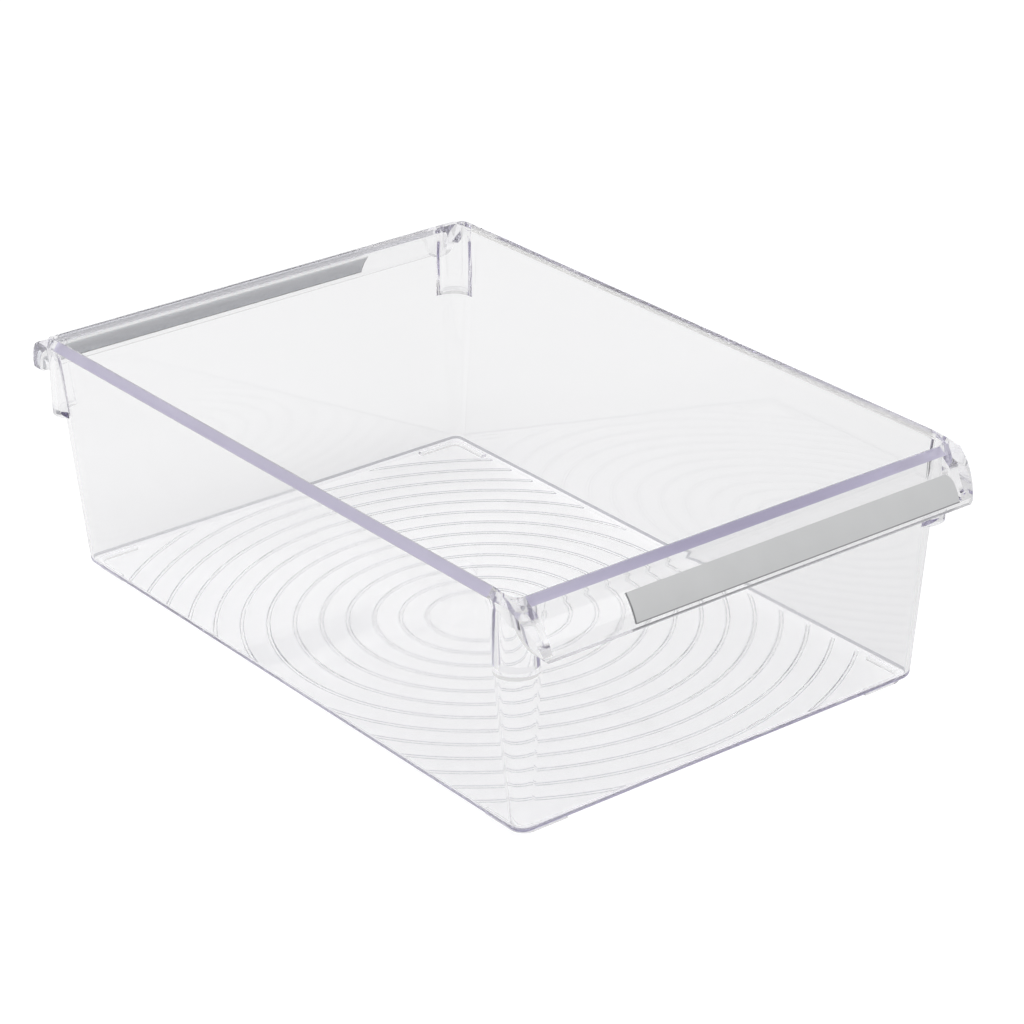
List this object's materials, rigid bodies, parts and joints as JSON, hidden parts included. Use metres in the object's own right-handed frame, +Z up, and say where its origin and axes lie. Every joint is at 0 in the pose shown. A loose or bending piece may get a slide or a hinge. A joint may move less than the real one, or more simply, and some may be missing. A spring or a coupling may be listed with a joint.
{
  "type": "storage bin",
  "caption": "Clear open-topped fridge bin with a curved pull hood and a soft grey grip pad at each short end, corner posts, ringed floor and small corner feet.",
  "frame": {"origin": "centre of the bounding box in plan, on the surface that the feet stand on", "axes": "+X along the bin towards the front hood, +Y across it, +Z up"},
  "size_m": [0.3364, 0.212, 0.102],
  "materials": {
    "clear_plastic": "polished, clear with a faint lavender edge",
    "grip_rubber": "matt silver grey"
  },
  "bodies": {
    "root": {"tub": "clear_plastic", "front_grip_pad": "grip_rubber", "rear_grip_pad": "grip_rubber"}
  },
  "joints": []
}
